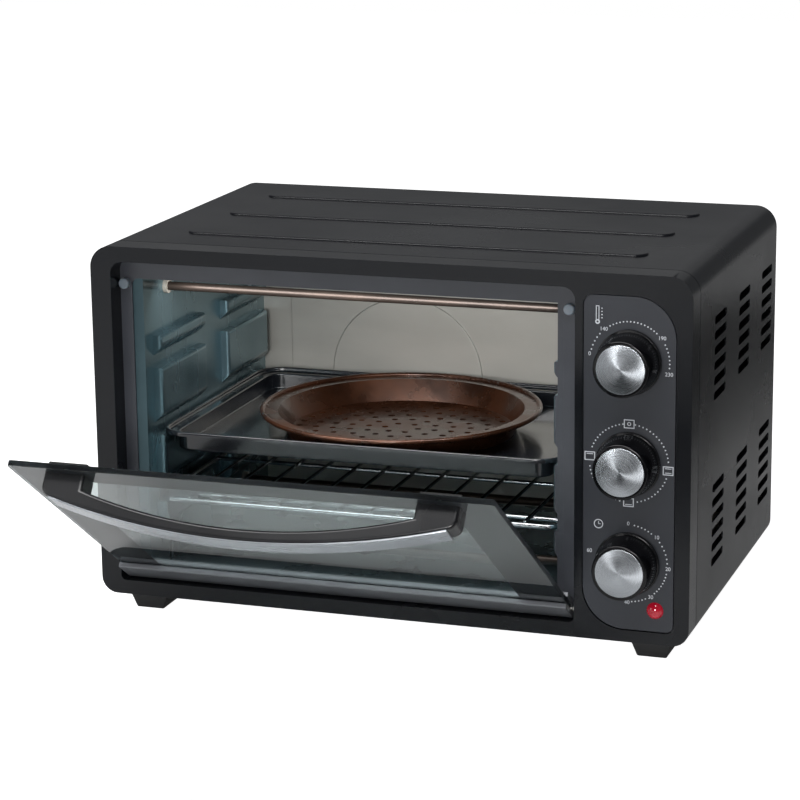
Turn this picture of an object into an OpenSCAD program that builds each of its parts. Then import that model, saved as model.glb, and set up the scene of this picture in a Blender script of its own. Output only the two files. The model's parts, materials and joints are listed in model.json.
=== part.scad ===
// Compact convection toaster oven: wrapped steel case, moulded fascia with three dials,
// drop-down glass door, wire rack, enamelled tray and a round perforated crisper pan.
// Inside every module X runs right, Y runs back from the fascia's front face and Z runs up
// from the underside of the case. in_place() then moves the piece into the part's own frame:
// floor at Z = 0, and X = Y = 0 at the middle of the box around the part as drawn.

/* [Case] */
// Width over the side panels
case_w = 440; // [420:1:540]
// Height of the case, without the feet
case_h = 259; // [250:1:320]
// Depth from the fascia's front face to the back edge of the cover
case_d = 284; // [270:1:350]
// Depth of the moulded fascia
fascia_d = 22; // [21:1:28]
// Radius of the two upper corners
top_corner_r = 16; // [10:1:22]
// Radius of the two lower corners
low_corner_r = 12; // [8:1:18]
// Steel thickness of the cover
cover_t = 1.2; // [0.8:0.1:2]
// Gap between the fascia and the cover
cover_gap = 1; // [0.6:0.1:2]
// Height of the feet
foot_h = 15.5; // [12:0.5:24]
// Width of a foot where it meets the case
foot_w = 32; // [28:1:38]

/* [Door] */
// Fascia bar to the left of the door
left_bar = 15.5; // [14:0.5:24]
// Width of the control side, from the door recess to the right edge of the case
control_w = 81.5; // [78:0.5:98]
// Fascia bar above the door
top_bar = 11; // [9:0.5:16]
// Fascia bar below the door
bottom_bar = 10.5; // [9:0.5:14]
// Gap around the door
door_gap = 3; // [2:0.5:4]
// Thickness of the door glass
glass_t = 4; // [3:0.5:5]
// How far the door stands open, measured from shut
door_angle = 55.5; // [0:0.5:85]
// Distance of the hinge axis behind the fascia's front face
hinge_y = 10; // [9:0.5:11]
// Height of the bottom rail above the hinge axis
rail_h = 21; // [16:1:40]
// Diameter of a hinge pin
pin_d = 4; // [3:0.5:5]

/* [Handle] */
// Distance from each end of the handle to the door's side edge
handle_inset = 24.5; // [8:0.5:50]
// Height of the grip
handle_h = 18; // [14:1:24]
// How far the middle of the handle stands off the glass
handle_reach = 35; // [30:1:40]
// How far its ends stand off the glass
handle_end_reach = 14; // [12:1:18]
// Thickness of the grip in its middle
grip_t = 8; // [7:0.5:12]
// Width of each handle post
post_w = 29; // [24:1:36]
// Thickness of the metal trim strip
trim_t = 1.2; // [0.8:0.1:2]

/* [Cavity] */
// Air gap behind the cavity
back_gap = 32; // [26:1:50]
// Steel thickness of the cavity walls
liner_t = 1; // [0.8:0.1:1.5]
// How far the shelf guides stand out of the walls
guide_out = 7; // [5:0.5:8]
// Room between a guide's top and the next guide
slot_h = 9; // [8:0.5:12]
// Height of the guide that carries the wire rack
rack_level = 66; // [62:1:70]
// Distance between the rack's guide and the tray's guide
level_pitch = 48; // [44:1:52]
// Diameter of a heating tube
heater_d = 6.5; // [6:0.5:8]

/* [Cookware] */
// Thickness of the rack's frame wire
frame_wire = 4.4; // [3.5:0.1:5.5]
// Thickness of the rack's long wires
thin_wire = 2.6; // [2:0.1:3]
// Number of long wires between the two sides
wire_count = 12; // [8:1:15]
// Depth of the baking tray
tray_depth = 13; // [11:1:20]
// Steel thickness of tray and pan
pan_t = 1.2; // [0.8:0.1:1.6]
// How far the crisper pan's rim stays inside the tray's front edge
pan_inset = 2.5; // [1:0.5:8]
// Radius of the crisper pan's rolled rim
roll_r = 1.8; // [1.4:0.1:2.4]
// Diameter of the holes in the crisper pan
pan_hole_d = 5; // [3:0.5:6]

/* [Dials] */
// Distance between the dials, as a share of the case height
dial_share = 0.274; // [0.24:0.002:0.286]
// Diameter of a knob at its foot
knob_d = 45; // [38:1:50]
// Height of a knob
knob_h = 24; // [16:1:30]
// Diameter of the metal disc on a knob
disc_d = 34; // [26:1:36]
// Diameter of a control shaft
shaft_d = 6; // [5:0.5:8]
// Diameter of the pilot lamp's lens
lens_d = 12; // [8:0.5:14]

/* [Hidden] */
$fn = 48;
// Facets of the long bows of the handle
bow_fn = 240;
eps = 0.01;
// Case size the louvres, ribs and switch bodies were laid out for; they follow it in proportion
drawn_h = 259;
drawn_d = 284;
// Clearance on the diameter of a shaft that turns in a bore
turn_fit = 0.16;

// Case and fascia
half_w = case_w / 2;
fascia_t = 3;
cover_y = fascia_d + cover_gap;
flange_w = 46;
base_z = cover_t;
rear_panel_t = 1.2;
rear_panel_y = case_d - 2.5;
return_w = 14;
// Door recess and door
recess_x0 = -half_w + left_bar;
recess_x1 = half_w - control_w;
recess_z0 = bottom_bar;
recess_z1 = case_h - top_bar;
recess_r = 9;
recess_low_r = 4;
frame_y = 17;
frame_t = 1.2;
frame_inset = fascia_t + 0.4;
frame_lip = 6;
door_x0 = recess_x0 + door_gap;
door_x1 = recess_x1 - door_gap;
door_cx = (door_x0 + door_x1) / 2;
rail_r = 6;
hinge_z = recess_z0 + rail_r + 0.5;
door_z1 = recess_z1 - 2;
glass_y0 = hinge_y - glass_t / 2;
glass_y1 = hinge_y + glass_t / 2;
glass_z0 = hinge_z + 5;
pin_in_rail = 12;
bracket_gap = 3.2;
bracket_t = 1.5;
// Handle, in the shut door's frame
handle_z1 = door_z1 - 8;
handle_z0 = handle_z1 - handle_h;
handle_mid_z = handle_z0 + handle_h / 2;
handle_half = (door_x1 - door_x0) / 2 - handle_inset;
handle_sag = handle_reach - handle_end_reach;
handle_r = (pow(handle_half, 2) + pow(handle_sag, 2)) / (2 * handle_sag);
grip_reach = handle_reach - grip_t;
bow_y = handle_reach - handle_r;
end_r = 7;
end_x = handle_half - end_r;
end_y = bow_y + sqrt(pow(handle_r - end_r, 2) - pow(end_x, 2));
tip_x = end_x * handle_r / (handle_r - end_r);
post_inner = handle_half - post_w;
grip_sag = grip_reach - 10;
grip_r = (pow(post_inner, 2) + pow(grip_sag, 2)) / (2 * grip_sag);
screw_x = handle_half - post_w / 2;
pad_t = frame_y - glass_y1 - 0.4;
pad_w = 28;
pad_h = 13;
// Opening and cavity, symmetric about the door
open_x0 = recess_x0 + 9;
open_x1 = recess_x1 - 12.5;
open_z0 = recess_z0 + 11.5;
open_z1 = recess_z1 - 15;
wall_x0 = open_x0 + 8;
wall_x1 = open_x1 - 4.5;
cav_cx = (wall_x0 + wall_x1) / 2;
cav_y0 = frame_y + frame_t;
cav_y1 = case_d - back_gap;
cav_z0 = open_z0 - 6;
cav_z1 = open_z1 + 3;
guide_tops = [rack_level, rack_level + level_pitch, cav_z1 - 0.278 * case_h, cav_z1 - 0.185 * case_h];
guide_lows = [rack_level - 22, guide_tops[0] + slot_h, guide_tops[1] + slot_h, guide_tops[2] + slot_h];
guide_y = [[32, 116], [cav_y1 - 92, cav_y1 - 10]];
boss_x = cav_cx - 33;
boss_z = 116;
boss_r = 62;
// Heating tubes: front and rear ones, at the floor and under the ceiling
heater_y = [58, cav_y1 - 52];
heater_low_z = cav_z0 + 19.5;
heater_top_z = cav_z1 - 16;
insulator_d = 11;
heater_end = 14;
// Convection fan in the right wall
fan_y = 138;
fan_z = 133;
fan_r = 37;
fan_case_r = 43;
fan_case_d = 16;
motor_w = 46;
motor_l = 30;
fan_shaft_d = 5;
// Cookware
side_play = 1.5;
shelf_x0 = wall_x0 + side_play;
shelf_x1 = wall_x1 - side_play;
shelf_y0 = 29;
shelf_y1 = cav_y1 - 6;
tray_rim_z = rack_level + level_pitch + 0.1;
tray_floor_z = tray_rim_z - tray_depth;
tray_rim = 12;
tray_r = 22;
bead_h = 3.4;
rack_z = rack_level + frame_wire / 2 + 0.1;
pan_cx = cav_cx;
pan_cy = (shelf_y0 + shelf_y1) / 2;
pan_z = tray_floor_z + pan_t + 0.1;
pan_r = (shelf_y1 - shelf_y0) / 2 - pan_inset;
pan_wall_r = (shelf_y1 - shelf_y0) / 2 - tray_rim - pan_t - 1.5;
pan_floor_r = pan_wall_r - 8;
pan_rim_z = tray_rim_z + bead_h + 0.5 - pan_z;
// Controls
panel_x0 = recess_x1 + 5.5;
panel_x1 = half_w - 10.5;
panel_z0 = 8.5;
panel_z1 = case_h - 14.5;
panel_t = 2.6;
dial_x = (panel_x0 + panel_x1) / 2;
dial_pitch = dial_share * case_h;
dial_mid_z = case_h / 2 - 1.5;
dial_z = [dial_mid_z + dial_pitch, dial_mid_z, dial_mid_z - dial_pitch];
knob_y = -1.2;
disc_t = 1.2;
disc_proud = 0.2;
shaft_in_knob = 12;
shaft_in_body = 12;
lens_x = panel_x1 - 13.5;
lens_z = panel_z0 + 16;
// Feet, and the cord's inlet at the back
foot_x = half_w - 30;
foot_y = [33, case_d - 34];
foot_l = 36;
inlet_x = half_w - 45;
inlet_z = 44;
inlet_d = 14;
inlet_flange = 4;
// Box around the part as drawn, from the handle's trim to the cord inlet
handle_front_y = hinge_y - (glass_t / 2 + handle_reach + trim_t) * cos(door_angle)
    - (handle_z1 - hinge_z) * sin(door_angle);
glass_front_y = hinge_y - glass_t / 2 * cos(door_angle) - (door_z1 - hinge_z) * sin(door_angle);
knob_front_y = knob_y - knob_h - disc_proud;
back_y = rear_panel_y + rear_panel_t + inlet_flange;
mid_y = (min(handle_front_y, glass_front_y, knob_front_y) + back_y) / 2;

// ---- Helpers ----

// Moves a piece from the drawing frame into the part's frame
module in_place() translate([0, -mid_y, foot_h]) children();

// Swings a piece of the shut door to where the door stands
module on_door() translate([0, hinge_y, hinge_z]) rotate([door_angle, 0, 0])
    translate([0, -hinge_y, -hinge_z]) children();

// Extrudes an outline drawn in X and Z from y0 backwards
module slab_y(y0, t) translate([0, y0 + t, 0]) rotate([90, 0, 0]) linear_extrude(t) children();

// Extrudes an outline drawn in Y and Z from x0 to the right
module slab_x(x0, t) translate([x0, 0, 0]) rotate([90, 0, 90]) linear_extrude(t) children();

// Round bar along Y, X or Z, starting at p
module rod_y(p, l, d) translate(p) rotate([-90, 0, 0]) cylinder(h = l, d = d);
module rod_x(p, l, d) translate(p) rotate([0, 90, 0]) cylinder(h = l, d = d);
module rod_z(p, l, d) translate(p) cylinder(h = l, d = d);

// Rectangle from (x0, z0) to (x1, z1) with its own radius at each corner, from lower left round
module rounded4(x0, z0, x1, z1, r) {
    corners = [[x0, z0, 1, 1], [x1, z0, -1, 1], [x1, z1, -1, -1], [x0, z1, 1, -1]];
    difference() {
        translate([x0, z0]) square([x1 - x0, z1 - z0]);
        for (i = [0:3]) {
            c = corners[i];
            difference() {
                translate([min(c[0] - c[2], c[0] + c[2] * r[i]), min(c[1] - c[3], c[1] + c[3] * r[i])])
                    square(r[i] + 1);
                translate([c[0] + c[2] * r[i], c[1] + c[3] * r[i]]) circle(r[i]);
            }
        }
    }
}

module rounded(x0, z0, x1, z1, r) rounded4(x0, z0, x1, z1, [r, r, r, r]);

// Outline of the case, shrunk by inset
module case_outline(inset) rounded4(-half_w + inset, inset, half_w - inset, case_h - inset,
    [low_corner_r - inset, low_corner_r - inset, top_corner_r - inset, top_corner_r - inset]);

// Ring between the case outline shrunk by a and by b
module rim_outline(a, b) difference() {
    case_outline(a);
    case_outline(b);
}

// Outline of the door recess, grown by grow
module recess_outline(grow) rounded4(recess_x0 - grow, recess_z0 - grow, recess_x1 + grow,
    recess_z1 + grow, [recess_low_r + grow, recess_low_r + grow, recess_r + grow, recess_r + grow]);

// Outline of the control panel with two tight and two wide corners, grown by grow
module panel_outline(grow) rounded4(panel_x0 - grow, panel_z0 - grow, panel_x1 + grow,
    panel_z1 + grow, [30 + grow, 6 + grow, 30 + grow, 8 + grow]);

// Round-ended slot along Y, centred, that cuts through a wall across X
module slot_x(l, h) {
    cube([40, l - h, h], center = true);
    for (s = [-1, 1]) translate([-20, s * (l - h) / 2, 0]) rotate([0, 90, 0]) cylinder(h = 40, d = h);
}

// Screw with a flat round head, pointing into the work along +Y from the head's seat at the origin
module screw(d, l, head_d, head_h) {
    rod_y([0, -head_h, 0], head_h, head_d);
    rod_y([0, -eps, 0], l, d);
}

// ---- Case ----

// Louvres of one side: two groups of three columns of six slots
module louvres(side) {
    column_y = [88, 169, 250];
    group_z = [67, 188];
    slot_pitch = 10.8;
    for (y = column_y, z = group_z, i = [-2.5:2.5])
        translate([side * half_w, y * case_d / drawn_d, (z + i * slot_pitch) * case_h / drawn_h]) slot_x(38, 6);
}

// Long flat rib pressed upwards in the top sheet
module top_rib(y) translate([0, y, case_h - eps]) linear_extrude(1.3) {
    rib_w = 20;
    rib_half = half_w - 58;
    square([2 * rib_half, rib_w], center = true);
    for (s = [-1, 1]) translate([s * rib_half, 0]) circle(d = rib_w);
}

module outer_cover() color([0.09, 0.10, 0.12]) in_place() {
    difference() {
        union() {
            slab_y(cover_y, case_d - cover_y) difference() {
                case_outline(0);
                case_outline(cover_t);
                translate([-half_w + flange_w, -1]) square([case_w - 2 * flange_w, cover_t + 2]);
            }
            slab_y(rear_panel_y - cover_t, cover_t) difference() {
                case_outline(cover_t / 2);
                rounded(-half_w + return_w, return_w, half_w - return_w, case_h - return_w, 6);
                translate([-half_w + flange_w, -1]) square([case_w - 2 * flange_w, return_w + 2]);
            }
            for (i = [0:2]) top_rib((70 + 80 * i) * case_d / drawn_d);
        }
        for (side = [-1, 1]) louvres(side);
        for (p = rear_screw_places()) rod_y([p[0], rear_panel_y - 5, p[1]], 10, 3);
        for (x = [-1, 1], y = foot_y) rod_z([x * foot_x, y, -1], 4, 4.2);
    }
}

function rear_screw_places() = [for (x = [-1, 1], z = [0.12, 0.5, 0.88])
    [x * (half_w - return_w / 2 - 1), z * case_h]];

module rear_panel() color([0.13, 0.14, 0.15]) in_place() difference() {
    slab_y(rear_panel_y, rear_panel_t) case_outline(cover_t + 0.3);
    for (i = [-7:7], z = [0.3, 0.72]) translate([i * 18 + boss_x / 2, rear_panel_y, z * case_h])
        cube([5, 8, 42], center = true);
    rod_y([inlet_x, rear_panel_y - 3, inlet_z], 8, inlet_d);
    for (p = rear_screw_places()) rod_y([p[0], rear_panel_y - 3, p[1]], 8, 3.4);
}

module rear_screws() color([0.55, 0.56, 0.58]) in_place() for (p = rear_screw_places())
    translate([p[0], rear_panel_y + rear_panel_t, p[1]]) rotate([0, 0, 180]) screw(2.9, 8, 6.5, 2);

module base_pan() color([0.45, 0.46, 0.47]) in_place() difference() {
    slab_y(cover_y + frame_lip + 0.2, rear_panel_y - cover_t - cover_y - frame_lip - 0.2)
        translate([-half_w + 20, base_z]) square([case_w - 40, cover_t]);
    for (i = [-5:5]) translate([cav_cx + i * 24, cav_y1 / 2 + 20, base_z]) cube([5, 60, 8], center = true);
    for (x = [-1, 1], y = foot_y) rod_z([x * foot_x, y, -1], 6, 4.2);
}

// Feet: a block that narrows downwards, with a recess for its screw
module feet() color([0.06, 0.06, 0.07]) in_place() for (x = [-1, 1], y = foot_y)
    translate([x * foot_x, y, -foot_h]) difference() {
        hull() {
            translate([0, 0, 0.5]) cube([foot_w - 11, foot_l - 5, 1], center = true);
            translate([0, 0, foot_h - 0.5]) cube([foot_w, foot_l, 1], center = true);
        }
        rod_z([0, 0, -1], foot_h * 0.55 + 1, 10);
        rod_z([0, 0, -1], foot_h + 2, 4.2);
    }

module foot_screws() color([0.6, 0.6, 0.62]) in_place() for (x = [-1, 1], y = foot_y)
    translate([x * foot_x, y, -foot_h * 0.45]) rotate([90, 0, 0]) screw(4, foot_h * 0.45 + 6, 8, 2.6);

// ---- Fascia and frame ----

module front_fascia() color([0.08, 0.09, 0.11]) in_place() difference() {
    union() {
        slab_y(0, fascia_t) difference() {
            case_outline(0);
            recess_outline(0);
            panel_outline(0);
        }
        slab_y(fascia_t - eps, fascia_d - fascia_t) difference() {
            case_outline(0);
            case_outline(fascia_t);
        }
        slab_y(fascia_t - eps, frame_y - fascia_t + eps) difference() {
            recess_outline(2.5);
            recess_outline(0);
        }
    }
    for (x = [recess_x0 - 4, recess_x1 - 2]) rod_x([x, hinge_y, hinge_z], 6, pin_d + 2);
}

// Pressed plate behind the fascia, with the cavity's mouth and the seats of the controls.
// Its rim runs back, steps out behind the fascia and carries the cover.
module front_frame() color([0.27, 0.28, 0.30]) in_place() difference() {
    union() {
        slab_y(frame_y, frame_t) difference() {
            case_outline(frame_inset);
            rounded(open_x0, open_z0, open_x1, open_z1, 5);
        }
        slab_y(frame_y + eps, cover_y - frame_y + frame_t) rim_outline(frame_inset, frame_inset + frame_t);
        slab_y(cover_y, frame_t) rim_outline(cover_t, frame_inset + frame_t);
        slab_y(cover_y + eps, frame_lip) rim_outline(cover_t, cover_t + frame_t);
    }
    for (z = dial_z) {
        rod_y([dial_x, frame_y - 2, z], 6, shaft_d + 4);
        for (p = control_screw_places(z)) rod_y([p[0], frame_y - 2, p[1]], 6, 3.4);
    }
    rod_y([lens_x, frame_y - 2, lens_z], 6, 9);
    for (x = [bumper_x(-1), bumper_x(1)]) rod_y([x, frame_y - 2, bumper_z()], 6, 4);
}

function control_screw_places(z) = [for (s = [-1, 1]) [dial_x + s * 15, z]];
function bumper_x(side) = side < 0 ? (recess_x0 + open_x0) / 2 - 0.2 : (recess_x1 + open_x1) / 2 - 1.5;
function bumper_z() = open_z1 - 3.5;

// Soft buttons that the shut door rests against
module door_bumpers() color([0.42, 0.46, 0.50]) in_place() for (side = [-1, 1])
    translate([bumper_x(side), 0, bumper_z()]) {
        rod_y([0, glass_y1 + 0.2, 0], frame_y - glass_y1 - 0.2, 8);
        rod_y([0, frame_y - eps, 0], 3, 3.8);
    }

// Steel ears behind the recess that carry the hinge pins
module hinge_brackets() color([0.55, 0.56, 0.58]) in_place()
    for (x = [recess_x0 - bracket_gap - bracket_t, recess_x1 + bracket_gap]) difference() {
        slab_x(x, bracket_t) translate([hinge_y - 5, hinge_z - 6.5]) square([frame_y - hinge_y + 5, 14]);
        rod_x([x - 1, hinge_y, hinge_z], bracket_t + 2, pin_d + turn_fit);
    }

module control_panel() color([0.20, 0.21, 0.23]) in_place() difference() {
    union() {
        slab_y(fascia_t - panel_t, panel_t + eps) panel_outline(-0.8);
        slab_y(fascia_t, 1.5) panel_outline(1.8);
    }
    for (z = dial_z) rod_y([dial_x, -1, z], 8, shaft_d + 2);
    rod_y([lens_x, -1, lens_z], 8, lens_d - 2);
}

// ---- Cavity ----

// Side wall in the Y-Z plane; out is +1 when the cavity lies to its right
module side_wall(x, out) {
    outer = out > 0 ? x - liner_t : x;
    difference() {
        union() {
            translate([outer, cav_y0, cav_z0 - liner_t])
                cube([liner_t, cav_y1 - cav_y0, cav_z1 - cav_z0 + 2 * liner_t]);
            translate([out > 0 ? open_x0 - 2 : x, cav_y0, cav_z0 - liner_t])
                cube([out > 0 ? x - open_x0 + 2 : open_x1 + 2 - x, liner_t, cav_z1 - cav_z0 + 2 * liner_t]);
            for (i = [0:3], span = guide_y) guide(x, out, guide_tops[i], guide_lows[i], span);
        }
        for (y = heater_y, z = [heater_low_z, heater_top_z])
            rod_x([x - 4, y, z], 8, insulator_d + 0.2);
    }
}

// One pressed shelf guide with a flat top and a sloping underside
module guide(x, out, top, low, span) translate([0, span[0], 0]) rotate([-90, 0, 0])
    linear_extrude(span[1] - span[0]) polygon([[x - out * eps, -top], [x + out * guide_out, -top],
        [x + out * guide_out, -low - guide_out], [x - out * eps, -low]]);

module cavity_left_wall() color([0.35, 0.42, 0.44]) in_place() side_wall(wall_x0, 1);

module cavity_right_wall() color([0.35, 0.42, 0.44]) in_place() difference() {
    side_wall(wall_x1, -1);
    for (ring = [[0, 1], [8.5, 6], [17, 12]], i = [1:ring[1]])
        rod_x([wall_x1 - 3, fan_y + ring[0] * cos(360 * i / ring[1]),
            fan_z + ring[0] * sin(360 * i / ring[1])], 8, 4.5);
    for (i = [-1:1], z = [fan_z - 38, fan_z + 38]) translate([wall_x1, fan_y + i * 9, z])
        cube([8, 4, 14], center = true);
}

module cavity_ceiling() color([0.50, 0.54, 0.55]) in_place()
    translate([wall_x0 + eps, cav_y0, cav_z1])
        cube([wall_x1 - wall_x0 - 2 * eps, cav_y1 - cav_y0, liner_t]);

module cavity_floor() color([0.40, 0.44, 0.45]) in_place()
    translate([wall_x0 + eps, cav_y0, cav_z0 - liner_t])
        cube([wall_x1 - wall_x0 - 2 * eps, cav_y1 - cav_y0, liner_t]);

// Back wall with a raised field and a round boss pressed into it
module cavity_back() color([0.58, 0.58, 0.56]) in_place() {
    slab_y(cav_y1, liner_t) translate([wall_x0 - liner_t, cav_z0 - liner_t])
        square([wall_x1 - wall_x0 + 2 * liner_t, cav_z1 - cav_z0 + 2 * liner_t]);
    slab_y(cav_y1 - 1.6, 1.6 + eps) rounded(wall_x0 + 24, cav_z0 + 30, wall_x1 - 24, cav_z1 - 18, 6);
    rod_y([boss_x, cav_y1 - 2.8, boss_z], 1.3, 2 * boss_r);
}

// Heating tube across the cavity with a terminal pin at each end
module heater(y, z) color([0.30, 0.26, 0.24]) in_place() {
    rod_x([wall_x0 - heater_end, y, z], wall_x1 - wall_x0 + 2 * heater_end, heater_d);
    rod_x([wall_x0 - heater_end - 7, y, z], wall_x1 - wall_x0 + 2 * heater_end + 14, 3);
}

module upper_front_heater() heater(heater_y[0], heater_top_z);
module upper_rear_heater() heater(heater_y[1], heater_top_z);
module lower_front_heater() heater(heater_y[0], heater_low_z);
module lower_rear_heater() heater(heater_y[1], heater_low_z);

// Ceramic bushes that hold the heating tubes in the side walls
module heater_insulators() color([0.86, 0.84, 0.78]) in_place()
    for (side = [-1, 1], y = heater_y, z = [heater_low_z, heater_top_z]) difference() {
        x = side < 0 ? wall_x0 : wall_x1;
        union() {
            rod_x([x - 3, y, z], 6, insulator_d);
            rod_x([side < 0 ? x - 7 : x + liner_t, y, z], 7 - liner_t, insulator_d + 4);
        }
        rod_x([x - 10, y, z], 20, heater_d + 0.2);
    }

// ---- Convection fan ----

module fan_housing() color([0.62, 0.63, 0.64]) in_place() {
    x0 = wall_x1 + liner_t;
    difference() {
        rod_x([x0, fan_y, fan_z], fan_case_d, 2 * fan_case_r);
        rod_x([x0 - eps, fan_y, fan_z], fan_case_d - 1.2, 2 * fan_case_r - 2.4);
        rod_x([x0 - 1, fan_y, fan_z], fan_case_d + 2, fan_shaft_d + 4);
    }
    for (s = [-1, 1]) translate([x0, fan_y + s * (fan_case_r + 5), fan_z]) difference() {
        translate([0, -6, -8]) cube([1.2, 12, 16]);
        rod_x([-1, 0, 0], 4, 3.4);
    }
}

module fan_impeller() color([0.70, 0.71, 0.72]) in_place() {
    x0 = wall_x1 + liner_t + 2.5;
    difference() {
        union() {
            rod_x([x0 + 8, fan_y, fan_z], 1.2, 2 * fan_r - 16);
            rod_x([x0, fan_y, fan_z], 9.2, 12);
            for (i = [0:7]) translate([x0, fan_y, fan_z]) rotate([i * 45, 0, 0])
                translate([0, 5, -0.6]) cube([9, fan_r - 5, 1.2]);
        }
        rod_x([x0 - 1, fan_y, fan_z], 12, fan_shaft_d + 0.1);
    }
}

module fan_shaft() color([0.75, 0.76, 0.78]) in_place()
    rod_x([wall_x1 + liner_t + 3, fan_y, fan_z], fan_case_d + motor_l - 8, fan_shaft_d);

module fan_motor() color([0.36, 0.33, 0.30]) in_place() {
    x0 = wall_x1 + liner_t + fan_case_d;
    difference() {
        union() {
            translate([x0 + 4, fan_y - motor_w / 2, fan_z - motor_w / 2]) cube([motor_l - 8, motor_w, motor_w]);
            rod_x([x0, fan_y, fan_z], motor_l, 18);
        }
        rod_x([x0 - 1, fan_y, fan_z], motor_l - 2, fan_shaft_d + turn_fit);
    }
}

// ---- Controls ----

// Switch body behind the frame with a bush for its shaft
module control_body(z, w, h, d) in_place() difference() {
    body_h = h * case_h / drawn_h;
    translate([dial_x - w / 2, frame_y + frame_t, z - body_h / 2]) cube([w, d, body_h]);
    rod_y([dial_x, frame_y, z], shaft_in_body + frame_t + 1, shaft_d + turn_fit);
    for (p = control_screw_places(z)) rod_y([p[0], frame_y, p[1]], 7, 2.9);
}

module thermostat() color([0.80, 0.79, 0.75]) control_body(dial_z[0], 42, 34, 26);
module function_switch() color([0.75, 0.74, 0.70]) control_body(dial_z[1], 44, 44, 32);
module timer() color([0.62, 0.64, 0.66]) control_body(dial_z[2], 52, 50, 40);

module control_screws() color([0.6, 0.6, 0.62]) in_place() for (z = dial_z, p = control_screw_places(z))
    translate([p[0], frame_y, p[1]]) screw(2.8, 6, 5.5, 2);

module control_shaft(z) color([0.78, 0.79, 0.80]) in_place()
    rod_y([dial_x, knob_y - shaft_in_knob, z], shaft_in_knob - knob_y + frame_y + frame_t + shaft_in_body,
        shaft_d);

module thermostat_shaft() control_shaft(dial_z[0]);
module function_shaft() control_shaft(dial_z[1]);
module timer_shaft() control_shaft(dial_z[2]);

// Round knob that narrows towards its face, with a seat for the metal disc
module knob(z) color([0.05, 0.05, 0.06]) in_place() translate([dial_x, knob_y, z])
    rotate([90, 0, 0]) difference() {
        rotate_extrude() polygon([[0, 0], [knob_d / 2, 0], [knob_d / 2, 3],
            [disc_d / 2 + 2.6, knob_h - 1.2], [disc_d / 2 + 1.4, knob_h], [0, knob_h]]);
        translate([0, 0, knob_h + disc_proud - disc_t]) cylinder(h = 2, d = disc_d + 0.2);
        translate([0, 0, -1]) cylinder(h = shaft_in_knob + 1.1, d = shaft_d + 0.05);
    }

module thermostat_knob() knob(dial_z[0]);
module function_knob() knob(dial_z[1]);
module timer_knob() knob(dial_z[2]);

module disc(z) color([0.80, 0.81, 0.82]) in_place()
    rod_y([dial_x, knob_y - knob_h - disc_proud, z], disc_t, disc_d);

module thermostat_disc() disc(dial_z[0]);
module function_disc() disc(dial_z[1]);
module timer_disc() disc(dial_z[2]);

// Red lens: a dome on a stem through the panel
module pilot_lens() color([0.75, 0.05, 0.12]) in_place() {
    face = fascia_t - panel_t;
    dome_r = lens_d / 2;
    translate([lens_x, face, lens_z]) rotate([90, 0, 0]) {
        intersection() {
            translate([0, 0, -dome_r * 0.5]) sphere(r = dome_r * 1.118);
            cylinder(h = dome_r, r = dome_r);
        }
        translate([0, 0, -8]) cylinder(h = 8 + eps, d = lens_d - 2.2);
    }
}

module pilot_lamp() color([0.85, 0.83, 0.78]) in_place()
    rod_y([lens_x, fascia_t - panel_t + 8, lens_z], 20, 8.6);

module terminal_block() color([0.88, 0.87, 0.83]) in_place() difference() {
    block_z = base_z + cover_t;
    translate([inlet_x - 24, rear_panel_y - 22, block_z]) cube([30, 18, 14]);
    for (i = [0:2]) rod_z([inlet_x - 18 + i * 9, rear_panel_y - 13, block_z + 6], 10, 4);
}

// Bush in the rear panel where the supply cord enters
module cord_inlet() color([0.10, 0.10, 0.10]) in_place() difference() {
    y1 = rear_panel_y + rear_panel_t;
    union() {
        rod_y([inlet_x, rear_panel_y - 6, inlet_z], 6 + rear_panel_t + inlet_flange, inlet_d - 0.2);
        rod_y([inlet_x, y1, inlet_z], inlet_flange, inlet_d + 6);
        rod_y([inlet_x, rear_panel_y - 2.2, inlet_z], 2.2, inlet_d + 4);
    }
    rod_y([inlet_x, rear_panel_y - 10, inlet_z], 24, 8);
}

// ---- Door ----

module door_glass() color([0.55, 0.68, 0.68, 0.45]) in_place() on_door() difference() {
    slab_y(glass_y0, glass_t) rounded4(door_x0, glass_z0, door_x1, door_z1, [1, 1, 3, 3]);
    for (s = [-1, 1]) rod_y([door_cx + s * screw_x, glass_y0 - 1, handle_mid_z], glass_t + 2, 6);
}

// Extruded rail that grips the glass and turns about the hinge axis
module door_rail() color([0.22, 0.23, 0.24]) in_place() on_door() difference() {
    slab_x(door_x0, door_x1 - door_x0) difference() {
        union() {
            translate([hinge_y - rail_r, hinge_z]) square([2 * rail_r, rail_h]);
            translate([hinge_y, hinge_z]) circle(rail_r);
        }
        translate([glass_y0 - 0.1, glass_z0 - 0.2]) square([glass_t + 0.2, rail_h]);
    }
    for (x = [door_x0 - 1, door_x1 - pin_in_rail]) rod_x([x, hinge_y, hinge_z], pin_in_rail + 1, pin_d + 0.05);
}

module hinge_pins() color([0.82, 0.83, 0.85]) in_place() {
    l = pin_in_rail + door_gap + bracket_gap + bracket_t + 0.5;
    rod_x([door_x0 + pin_in_rail - l, hinge_y, hinge_z], l, pin_d);
    rod_x([door_x1 - pin_in_rail, hinge_y, hinge_z], l, pin_d);
}

// Plan of the handle, X across and Y as the distance off the glass: a bow with rounded ends
module handle_plan() difference() {
    union() {
        intersection() {
            translate([0, bow_y]) circle(handle_r, $fn = bow_fn);
            translate([-tip_x, 0]) square([2 * tip_x, handle_reach + 1]);
        }
        for (s = [-1, 1]) {
            translate([s * end_x, end_y]) circle(end_r);
            translate([s * end_x - end_r, 0]) square([2 * end_r, end_y]);
        }
    }
    intersection() {
        translate([0, grip_reach - grip_r]) circle(grip_r, $fn = bow_fn);
        translate([-post_inner, -1]) square([2 * post_inner, grip_reach + 2]);
    }
}

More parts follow.
